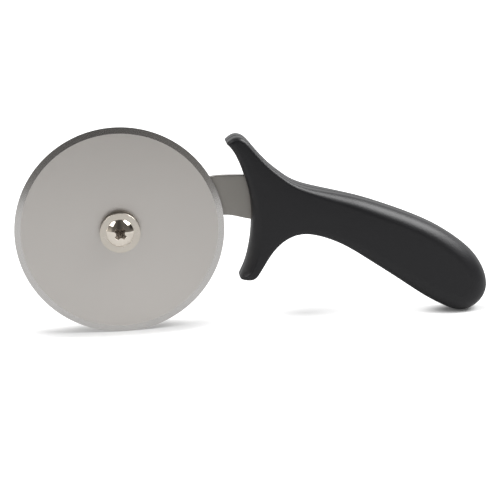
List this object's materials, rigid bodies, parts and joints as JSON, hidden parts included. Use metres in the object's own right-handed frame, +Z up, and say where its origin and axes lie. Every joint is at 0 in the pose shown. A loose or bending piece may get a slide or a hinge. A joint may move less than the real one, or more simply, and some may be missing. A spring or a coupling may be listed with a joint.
{
  "type": "pizza cutter wheel",
  "caption": "Hand pizza cutter: a round bevelled stainless blade turning on a bushed pivot, carried by a flat steel shank in a black moulded handle with a pronged finger guard.",
  "frame": {"origin": "the wheel's centre, on the blade's front face", "axes": "+X from the wheel along the handle, +Y through the pivot from the screw's head to the nut, +Z up as it stands on the wheel's rim and the underside of the handle's tail"},
  "size_m": [0.2312, 0.0239, 0.1017],
  "materials": {
    "blade_steel": "satin stainless sheet, fine ground bevel at the rim",
    "bush_chrome": "turned and bright plated",
    "screw_chrome": "cold-headed and bright plated",
    "washer_steel": "plain stainless",
    "shank_steel": "satin stainless plate, brushed along its length",
    "nut_chrome": "bright plated",
    "handle_plastic": "black moulded plastic with a fine matte texture"
  },
  "bodies": {
    "tool": {"handle": "handle_plastic", "shank": "shank_steel", "thrust_washer": "washer_steel", "pivot_bush": "bush_chrome", "pivot_screw": "screw_chrome", "rear_washer": "washer_steel", "lock_washer": "washer_steel", "cap_nut": "nut_chrome"},
    "wheel": {"blade_wheel": "blade_steel"}
  },
  "joints": [
    {"name": "wheel_spin", "type": "hinge", "parent": "tool", "child": "wheel", "pos_m": [0, 0, 0], "axis": [0, 1, 0], "continuous": true}
  ]
}
